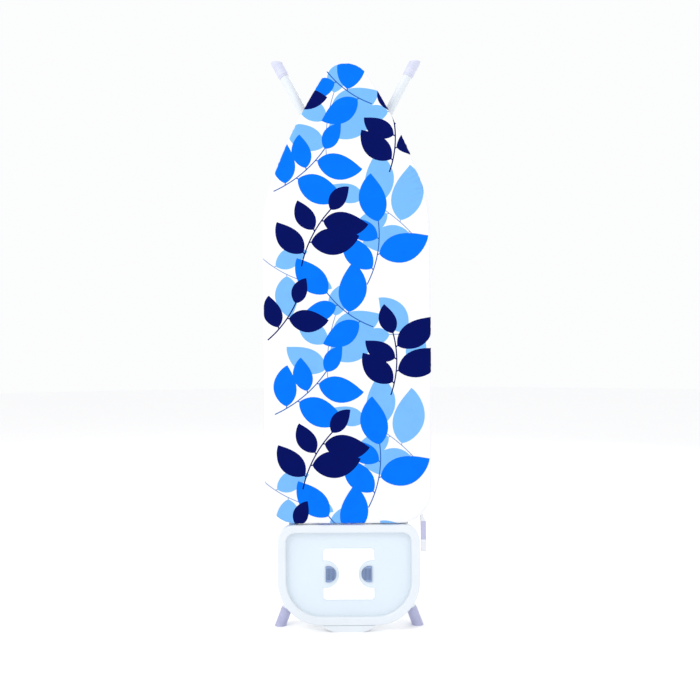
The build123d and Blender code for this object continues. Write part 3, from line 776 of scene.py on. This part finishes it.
class MetalSettings(bpy.types.PropertyGroup):
    paint: tint("Paint", "Powder coat of the frame, legs and tray", (0.74, 0.785, 0.83))
    # painted shade: the tray floor has the same white paint as the frame, drawn darker and bluer
    # where the sunken floor lies in shade
    recess: tint("Tray recess", "Cooler paint of the sunken tray floor", (0.69, 0.775, 0.845))
    plated: tint("Plating", "Zinc of the pins, bolts and screws", (0.60, 0.61, 0.63))
    mesh_pitch: size("Mesh pitch", "Width of one diamond of the panel", 0.024, 0.008, 0.06)
    mesh_strand: size("Mesh strand", "Width of a strand of the panel", 0.0026, 0.001, 0.006)


class PlasticSettings(bpy.types.PropertyGroup):
    # All four caps are one plastic: the upper colour is a painted lit copy of it and the lower a
    # painted shaded copy
    nose_cap: tint("Upper caps", "Foot caps at the nose end", (0.63, 0.65, 0.79))
    tail_cap: tint("Lower caps", "Foot caps at the tray end", (0.42, 0.43, 0.62))
    lever: tint("Lever", "Release lever and storage lock", (0.36, 0.37, 0.47))
    shoe: tint("Shoes", "Slider shoes in the rails", (0.80, 0.80, 0.80))
    pad: tint("Tray pads", "Ribbed heat-proof pads", (0.215, 0.300, 0.500))


class StageSettings(bpy.types.PropertyGroup):
    distance: size("Camera distance", "From the camera to the ironing face", 2.15, 0.5, 10)
    height: size("Camera height", "Above the floor", 0.761, 0.1, 3)
    aside: size("Camera offset", "To the right of the board's middle", 0.007, -1, 1)
    view_width: size("View width", "Seen across at the ironing face", 1.883, 0.5, 5)
    floor: tint("Floor", "Seamless studio floor", (0.98, 0.98, 0.985))


# ------------------------ operators


FLOOR_REACH, FLOOR_SIDES = 14.0, 96
CAMERA_ROLL = math.radians(0.37)
SENSOR_WIDTH, SOFTBOX = 36, 2.0
CAP_EDGE = math.radians(32)
BRACE_SPLAY = 0.374


class BOARD_OT_stage(bpy.types.Operator):
    """Adds the pale floor, the soft lights and the camera"""

    bl_idname = "ironing_board.stage"
    bl_label = "Add Stage"

    def execute(self, context):
        settings = context.scene.board_stage
        white = studio_white("studio_paper", tuple(settings.floor))
        ring = [
            (FLOOR_REACH * math.cos(a), FLOOR_REACH * math.sin(a), FLOOR_Z)
            for a in (math.tau * i / FLOOR_SIDES for i in range(FLOOR_SIDES))
        ]
        mesh = bpy.data.meshes.new("studio_floor")
        mesh.from_pydata(ring, [], [range(FLOOR_SIDES)])
        mesh.materials.append(white)
        floor = bpy.data.objects.new("studio_floor", mesh)
        context.scene.collection.objects.link(floor)
        self.light(context, "key_softbox", (-2.6, -1.9, 3.2), 0.9, 50)
        self.light(context, "fill_softbox", (2.6, -2.0, 1.8), 0.8, 12)
        self.light(context, "rear_softbox", (1.6, 2.8, 2.8), 0.8, 26)
        world = bpy.data.worlds.new("studio")
        world.use_nodes = True
        background = world.node_tree.nodes["Background"]
        background.inputs[0].default_value = (0.99, 0.995, 1.0, 1)
        background.inputs[1].default_value = 0.985
        context.scene.world = world
        context.scene.view_settings.view_transform = "Standard"
        camera = bpy.data.objects.new("camera", bpy.data.cameras.new("camera"))
        camera.data.sensor_width = SENSOR_WIDTH
        camera.data.lens = SENSOR_WIDTH * settings.distance / settings.view_width
        camera.location = (settings.aside, FACE_Y - settings.distance, settings.height)
        camera.rotation_euler = (math.pi / 2, CAMERA_ROLL, 0)
        context.scene.collection.objects.link(camera)
        context.scene.camera = camera
        return {"FINISHED"}

    @staticmethod
    def light(context, name, place, target_z, power):
        """Adds a soft light that faces the board's middle line at a height."""
        lamp = bpy.data.lights.new(name, "AREA")
        lamp.size, lamp.energy = SOFTBOX, power
        lamp.color = (1.0, 0.99, 0.98)
        holder = bpy.data.objects.new(name, lamp)
        holder.location = place
        aim = Vector((0, 0, target_z)) - Vector(place)
        holder.rotation_euler = aim.to_track_quat("-Z", "Y").to_euler()
        context.scene.collection.objects.link(holder)


class BOARD_OT_cover(bpy.types.Operator):
    """Cuts the printed cotton and draws it over the board, with its hem gathered behind"""

    bl_idname = "ironing_board.cover"
    bl_label = "Add Cover"

    def execute(self, context):
        settings = context.scene.board_cloth
        inks = [
            cotton(f"cotton_{ink}", tuple(getattr(settings, ink)), mottle)
            for ink, mottle in INK_MOTTLE.items()
        ]
        points, faces, shown = printed_cloth()
        rim = Rim()
        placed = [wrapped(rim, p.x, p.y) for p in points]
        cover = new_piece("cotton_cover", placed, faces, "board", inks, shown)
        thicken(cover, "cloth_thickness", settings.thickness)
        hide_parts("cover")
        flat = [max(p[i] for p in points) - min(p[i] for p in points) for i in (0, 1)]
        area = sum(
            abs((points[b] - points[a]).cross(points[c] - points[a])) / 2 for a, b, c in faces
        )
        self.stitching(rim, inks[0])
        return {"FINISHED"}

    @staticmethod
    def stitching(rim, thread):
        """Row of stitches that closes the elastic channel along the hem."""
        line = [wrapped(rim, p.x, p.y) for p in outline(ROLL - WRAP + STITCH_LINE, 0.0026)]
        stitches = Solid()
        for start, end in zip(line[::2], line[1::2]):
            reach = (end - start) * 0.25
            lifted = Vector((0, 0.00035, 0))
            stitches.tube([start + lifted - reach, end + lifted + reach], 0.00033, 6)
        stitches.piece("hem_stitches", "board", "cotton_print", thread)


def filled_outline(inset, pitch, holes=()):
    """Points and triangles of a flat net that fills the board's outline, apart from its holes."""
    vertices, loops = numbered([outline(inset, pitch), *holes])
    if not holes:
        edge = vertices[:]
        low, high = TAIL_Z + inset, TIP_Z - inset
        for row in range(1, int((high - low) / pitch)):
            z = low + row * pitch
            crossing = [
                a.x + (b.x - a.x) * (z - a.y) / (b.y - a.y)
                for a, b in zip(edge, edge[1:] + edge[:1])
                if (a.y <= z < b.y) or (b.y <= z < a.y)
            ]
            left, right = min(crossing) + pitch / 2, max(crossing) - pitch / 2
            count = max(1, int((right - left) / pitch))
            vertices += [Vector((left + (right - left) * i / count, z)) for i in range(count + 1)]
    points, _, triangles, _, _, origins = geometry.delaunay_2d_cdt(
        vertices, [], loops, 1, 1e-7, True
    )
    return used_points(
        points, [t for t, inside in zip(triangles, origins) if list(inside) == [CUT]]
    )


def outer_edges(triangles):
    """Edges that only one triangle of a net has, each as its triangle runs it."""
    edges = {edge for a, b, c in triangles for edge in ((a, b), (b, c), (c, a))}
    return [edge for edge in edges if (edge[1], edge[0]) not in edges]


class BOARD_OT_padding(bpy.types.Operator):
    """Adds the felt underlay, as thick as the padding, with its rounded edge"""

    bl_idname = "ironing_board.padding"
    bl_label = "Add Padding"

    def execute(self, context):
        settings = context.scene.board_cloth
        low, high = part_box("padding")
        points, triangles = filled_outline(0.0022, 0.012)
        rim = Rim()
        front, back = [], []
        for p in points:
            inset = rim.nearest(p.x, p.y)[0]
            droop = 0.0050 * math.exp(-max(inset - 0.0022, 0) / 0.0026)
            puff = 0.00018 * math.sin(61 * p.x + 1.3) * math.sin(47 * p.y)
            front.append(Vector((p.x, low[1] + 0.0002 + droop, p.y)))
            back.append(Vector((p.x, high[1] - 0.0003 + puff, p.y)))
        count = len(points)
        faces = list(triangles) + [tuple(count + i for i in t[::-1]) for t in triangles]
        faces += [(b, a, count + a, count + b) for a, b in outer_edges(triangles)]
        underlay = new_piece(
            "felt_underlay", front + back, faces, "board",
            [felt("needled_felt", tuple(settings.felt))],
        )
        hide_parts("padding")
        return {"FINISHED"}


class BOARD_OT_panel(bpy.types.Operator):
    """Adds the expanded-metal panel under the padding"""

    bl_idname = "ironing_board.panel"
    bl_label = "Add Mesh Panel"

    def execute(self, context):
        settings = context.scene.board_metal
        low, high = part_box("top_panel")
        pitch, strand = settings.mesh_pitch, settings.mesh_strand
        tall = pitch * 0.5
        rim = Rim()
        reach = Vector((pitch / 2 - strand * 0.9, tall / 2 - strand * 0.62))
        blunt = 0.16
        holes = []
        for row in range(int((TIP_Z - TAIL_Z) / (tall / 2))):
            z = TAIL_Z + row * tall / 2
            for column in range(-12, 13):
                x = column * pitch + (row % 2) * pitch / 2
                if rim.nearest(x, z)[0] < 0.024 + pitch * 0.42 or self.solid_at(x, z, tall):
                    continue
                holes.append([
                    Vector((x + reach.x * u, z + reach.y * v)) for u, v in (
                        (1, -blunt), (1, blunt), (0.12, 1), (-0.12, 1),
                        (-1, blunt), (-1, -blunt), (-0.12, -1), (0.12, -1),
                    )
                ])
        points, triangles = filled_outline(0.0065, 0.006, holes)
        placed = [Vector((p.x, low[1], p.y)) for p in points]
        panel = new_piece(
            "mesh_panel", placed, triangles, "board",
            [bpy.data.materials["paint_white"]], smooth=False,
        )
        thicken(panel, "sheet_thickness", high[1] - low[1])
        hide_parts("top_panel")
        return {"FINISHED"}

    @staticmethod
    def solid_at(x, z, tall):
        """Whether the panel is left solid, where a member is welded to it."""
        for node in ("cross_member_mid", "cross_member_nose", "cross_member_tail", "lock_bracket"):
            low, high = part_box(node)
            if low[0] < x < high[0] and low[2] - tall / 4 < z < high[2] + tall / 4:
                return True
        return False


class BOARD_OT_label(bpy.types.Operator):
    """Adds the care label that hangs from behind the hem"""

    bl_idname = "ironing_board.label"
    bl_label = "Add Care Label"

    def execute(self, context):
        low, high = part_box("care_label")
        drop_by = 0.007
        left = low[0] + 0.0012
        width, length = 0.0145, high[2] - low[2]
        foot = low[2] - drop_by
        # the third colour and the last width paint a dark strip of shadow along the tape's left
        # edge
        tape = woven_tape(
            "label_tape", (0.84, 0.85, 0.90), (0.46, 0.46, 0.64), (0.10, 0.10, 0.20),
            foot + 0.032, foot + 0.083, left + 0.0011,
        )
        rows, columns = 44, 10
        vertices = []
        for row in range(rows + 1):
            drop = row / rows
            z = high[2] - drop_by - drop * length
            below = max(0.0, min(1.0, (TAIL_Z + 0.026 - z) / 0.012))
            pinch = 1 - 0.55 * max(0.0, min(1.0, (z - foot - 0.083) / 0.016))
            sway = 0.0012 * math.sin(2.6 * drop) * drop
            for column in range(columns + 1):
                u = column / columns
                cup = 0.0034 * u * (1 - u) * (0.4 + 0.6 * below) + 0.002 * (1 - pinch) * (1 - u)
                y = high[1] + 0.0006 + cup * below + 0.0005 * math.sin(9 * drop + 2 * u)
                vertices.append((left + u * width * pinch + sway, y, z))
        faces = []
        for row in range(rows):
            for column in range(columns):
                a = row * (columns + 1) + column
                faces.append((a, a + 1, a + columns + 2, a + columns + 1))
        label = new_piece("care_tape", vertices, faces, "board", [tape])
        thicken(label, "tape_thickness", 0.00035, 1)
        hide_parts("care_label")
        return {"FINISHED"}


class BOARD_OT_feet(bpy.types.Operator):
    """Adds the moulded foot caps, cut flat for storage and again for use"""

    bl_idname = "ironing_board.feet"
    bl_label = "Add Foot Caps"

    def execute(self, context):
        settings = context.scene.board_plastic
        # one cap plastic in two copies, painted lighter at the nose end and painted darker, in
        # shade, at the tray end
        cap_lit_and_shaded = {"tail": tuple(settings.tail_cap), "nose": tuple(settings.nose_cap)}
        for leg, sizes in LEGS.items():
            plastic = moulded(f"cap_plastic_{leg}", cap_lit_and_shaded[leg], 0.52, 900)
            for name, side in (("left", -1), ("right", 1)):
                self.cap(leg, name, side, sizes, plastic)
        return {"FINISHED"}

    @staticmethod
    def cap(leg, name, side, sizes, plastic):
        outward = 1 if sizes["foot_z"] > sizes["bend_z"] else -1
        end = Vector((side * sizes["foot_x"], LEG_Y, sizes["foot_z"]))
        bend = Vector((side * sizes["top_x"], LEG_Y, sizes["bend_z"]))
        inward = (bend - end).normalized()
        bore = LEG_TUBE_RADIUS + 0.00008
        grip = []
        for ring in range(6):
            start = 0.0085 + ring * 0.0034
            grip += [
                (start, 0.0148), (start + 0.0005, 0.01435),
                (start + 0.0014, 0.01435), (start + 0.0019, 0.0148),
            ]
        outside = [
            (-0.014, 0.0139), (-0.006, 0.01495), (0.0070, 0.0150), *grip,
            (0.0310, 0.0147), (0.0395, 0.01445), (0.0402, 0.0149), (0.0408, 0.0150),
            (0.0452, 0.0150), (0.0460, 0.0146), (0.0466, 0.0140), (0.0508, 0.01385),
            (0.0518, 0.0134),
        ]
        inside = [(0.0518, bore), (0.0300, bore), (0.0092, bore), (0.0090, 0.004)]
        cap = Solid()
        profile = [(at * sizes["cap_share"], radius) for at, radius in outside + inside]
        cap.lathe(end, inward, profile, 56)
        sole = Vector((0, math.cos(OPEN_ANGLE), outward * math.sin(OPEN_ANGLE)))
        corner = Vector((0, LEG_Y + 0.015, sizes["foot_z"])) - sole * 0.004
        for vertex in cap.vertices:
            beyond = (vertex.z - sizes["foot_z"]) * outward
            if beyond > 0:
                vertex += inward * (beyond / abs(inward.z))
            beyond = (vertex - corner).dot(sole)
            if beyond > 0:
                vertex += inward * (beyond / -inward.dot(sole))
        piece = cap.piece(f"{leg}_cap_{name}", f"{leg}_leg", "grey_plastic", plastic)
        piece.data.set_sharp_from_angle(angle=CAP_EDGE)
        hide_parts(f"{leg}_foot_{name}")


class BOARD_OT_fasteners(bpy.types.Operator):
    """Adds hexagon screws, rivets, weld beads and the rolled edge of the tray's window"""

    bl_idname = "ironing_board.fasteners"
    bl_label = "Add Fasteners"

    def execute(self, context):
        plated = bpy.data.materials["plated_steel"]
        white = bpy.data.materials["paint_white"]
        self.screws(plated)
        self.rivets(white)
        self.welds(white)
        self.window_edge(bpy.data.materials["paint_recess"])
        return {"FINISHED"}

    @staticmethod
    def screws(plated):
        low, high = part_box("tray_screws")
        screws = Solid()
        x_out = high[0] - 0.006
        heights = [low[2] + 0.006, high[2] - 0.055, high[2] - 0.006]
        for side in (-1, 1):
            for z in heights:
                at = Vector((side * x_out, low[1], z))
                screws.lathe(at, (0, 1, 0), [
                    (0, 0.0062), (0.0006, 0.0062), (0.0009, 0.0059), (0.0009, 0.0050),
                    (0.0026, 0.0050), (0.0032, 0.0044), (0.0033, 0.0020),
                ], 6)
                screws.lathe(at, (0, 1, 0), [(0, 0.0068), (0.0007, 0.0068), (0.0008, 0.0064)], 28)
        piece = screws.piece("tray_bolts", "board", "zinc_steel", plated, smooth=False)
        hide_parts("tray_screws")

    @staticmethod
    def rivets(white):
        rivets = Solid()
        dome = [
            (0, 0.0046), (0.0006, 0.0046), (0.0015, 0.0038), (0.0021, 0.0024), (0.0023, 0.0009)
        ]
        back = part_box("cross_member_mid")[1][1]
        bracket_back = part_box("hinge_bracket")[0][1] + 0.003
        hinge_z = (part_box("hinge_axle")[0][2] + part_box("hinge_axle")[1][2]) / 2
        for side in (-1, 1):
            for dz in (-0.008, 0.008):
                rivets.lathe((side * 0.022, bracket_back, hinge_z + dz), (0, 1, 0), dome, 20)
        spots = {"cross_member_mid": (0.185, 0.150), "cross_member_nose": (0.15, 0.12)}
        for node, places in spots.items():
            low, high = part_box(node)
            for side in (-1, 1):
                for x in places:
                    z = (low[2] + high[2]) / 2
                    rivets.lathe((side * x, back, z), (0, 1, 0), dome, 20)
        rivets.piece("frame_rivets", "board", "white_steel", white)

    @staticmethod
    def welds(white):
        for leg, braces in (
            ("tail", ("tail_leg_upper_brace", "tail_leg_lower_brace")),
            ("nose", ("nose_leg_brace",)),
        ):
            beads = Solid()
            draw = random.Random(len(leg) + len(braces))
            for node in braces:
                low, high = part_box(node)
                middle = (low + high) / 2
                radius = (high[1] - low[1]) / 2
                splayed = node == "tail_leg_lower_brace"
                reach = high[0] - (0.003 if splayed else 0.0006)
                for side in (-1, 1):
                    ring = []
                    for step in range(40):
                        a = 2 * math.pi * step / 40
                        y, z = radius * math.cos(a), radius * math.sin(a)
                        saddle = LEG_TUBE_RADIUS - math.sqrt(LEG_TUBE_RADIUS ** 2 - y * y)
                        lean = z * BRACE_SPLAY if splayed else 0.0
                        x = side * (reach - 0.0042 + saddle - lean)
                        wobble = 1 + draw.uniform(-0.02, 0.03)
                        ring.append(middle + Vector((x, y * wobble, z * wobble)))
                    beads.tube(ring, 0.0015, 8, closed=True)
            beads.piece(f"{leg}_leg_welds", f"{leg}_leg", "white_steel", white)

    @staticmethod
    def window_edge(recess):
        low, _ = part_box("tray_base")
        pad_low, pad_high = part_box("tray_pad_right")
        centre_z = (pad_low[2] + pad_high[2]) / 2
        half, tab, tab_x, corner = 0.070, 0.037, 0.064, 0.010
        square = half - corner
        turns = [math.pi - (math.pi / 2) * step / 18 for step in range(19)]
        quarter = [(tab_x + tab * math.cos(a), tab * math.sin(a)) for a in turns]
        quarter += [(half, tab + (square - tab) * step / 6) for step in range(7)]
        turns = [math.pi / 2 * step / 6 for step in range(1, 7)]
        quarter += [(square + corner * math.cos(a), square + corner * math.sin(a)) for a in turns]
        quarter += [(square * (1 - step / 6), half) for step in range(1, 7)]
        right = [(x, -z) for x, z in reversed(quarter[1:])] + quarter
        loop = right + [(-x, z) for x, z in reversed(right[1:-1])]
        edge = Solid()
        # the rolled window edge takes the tray floor's painted shade colour
        edge.tube([(x, low[1] + 0.0004, centre_z + z) for x, z in loop], 0.0012, 8, closed=True)
        edge.piece("tray_window_edge", "board", "white_steel", recess)


class BOARD_OT_finishes(bpy.types.Operator):
    """Gives the frame, legs, tray and fittings their paint, plating and plastic"""

    bl_idname = "ironing_board.finishes"
    bl_label = "Apply Finishes"

    def execute(self, context):
        metal, plastic = context.scene.board_metal, context.scene.board_plastic
        paint = tuple(metal.paint)
        finishes = {
            "white_steel": powder_coat("paint_white", paint, shade(paint, 0.95)),
            "zinc_steel": zinc("plated_steel", tuple(metal.plated)),
            "grey_plastic": moulded("lever_plastic", tuple(plastic.lever), 0.5, 800),
            "white_plastic": moulded("shoe_plastic", tuple(plastic.shoe), 0.55, 600),
            # the depth given here is where the pads' painted groove shade begins
            "grey_rubber": silicone(
                "pad_silicone", tuple(plastic.pad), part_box("tray_pad_left")[0][1] + 0.0002
            ),
        }
        # a shaded copy of the white paint, for the sunken tray floor: painted shade, not a
        # different paint
        recess = powder_coat("paint_recess", tuple(metal.recess), shade(tuple(metal.recess), 0.97))
        for part in frame["record"]["subparts"]:
            finish = recess if part["node"] == "tray_base" else finishes.get(part["material_slot"])
            for slot in frame["nodes"][part["node"]].material_slots if finish else ():
                slot.link = "OBJECT"
                slot.material = finish
        return {"FINISHED"}


class BOARD_PT_pieces(bpy.types.Panel):
    """Lists the board's pieces in the sidebar"""

    bl_idname = "BOARD_PT_pieces"
    bl_label = "Ironing Board"
    bl_space_type = "VIEW_3D"
    bl_region_type = "UI"
    bl_category = "Board"

    def draw(self, context):
        for operator in OPERATORS:
            self.layout.operator(operator.bl_idname)
        for group in SETTINGS:
            for name in SETTINGS[group].__annotations__:
                self.layout.prop(getattr(context.scene, group), name)


SETTINGS = {
    "board_cloth": ClothSettings,
    "board_metal": MetalSettings,
    "board_plastic": PlasticSettings,
    "board_stage": StageSettings,
}
OPERATORS = (
    BOARD_OT_stage,
    BOARD_OT_finishes,
    BOARD_OT_padding,
    BOARD_OT_cover,
    BOARD_OT_panel,
    BOARD_OT_label,
    BOARD_OT_feet,
    BOARD_OT_fasteners,
)
CLASSES = (*SETTINGS.values(), *OPERATORS, BOARD_PT_pieces)


def register():
    for group in CLASSES:
        bpy.utils.register_class(group)
    for name, group in SETTINGS.items():
        setattr(bpy.types.Scene, name, bpy.props.PointerProperty(type=group))


def unregister():
    for name in SETTINGS:
        delattr(bpy.types.Scene, name)
    for group in reversed(CLASSES):
        bpy.utils.unregister_class(group)


def main():
    register()
    for operator in OPERATORS:
        category, name = operator.bl_idname.split(".")
        getattr(getattr(bpy.ops, category), name)()


if __name__ == "__main__":
    main()
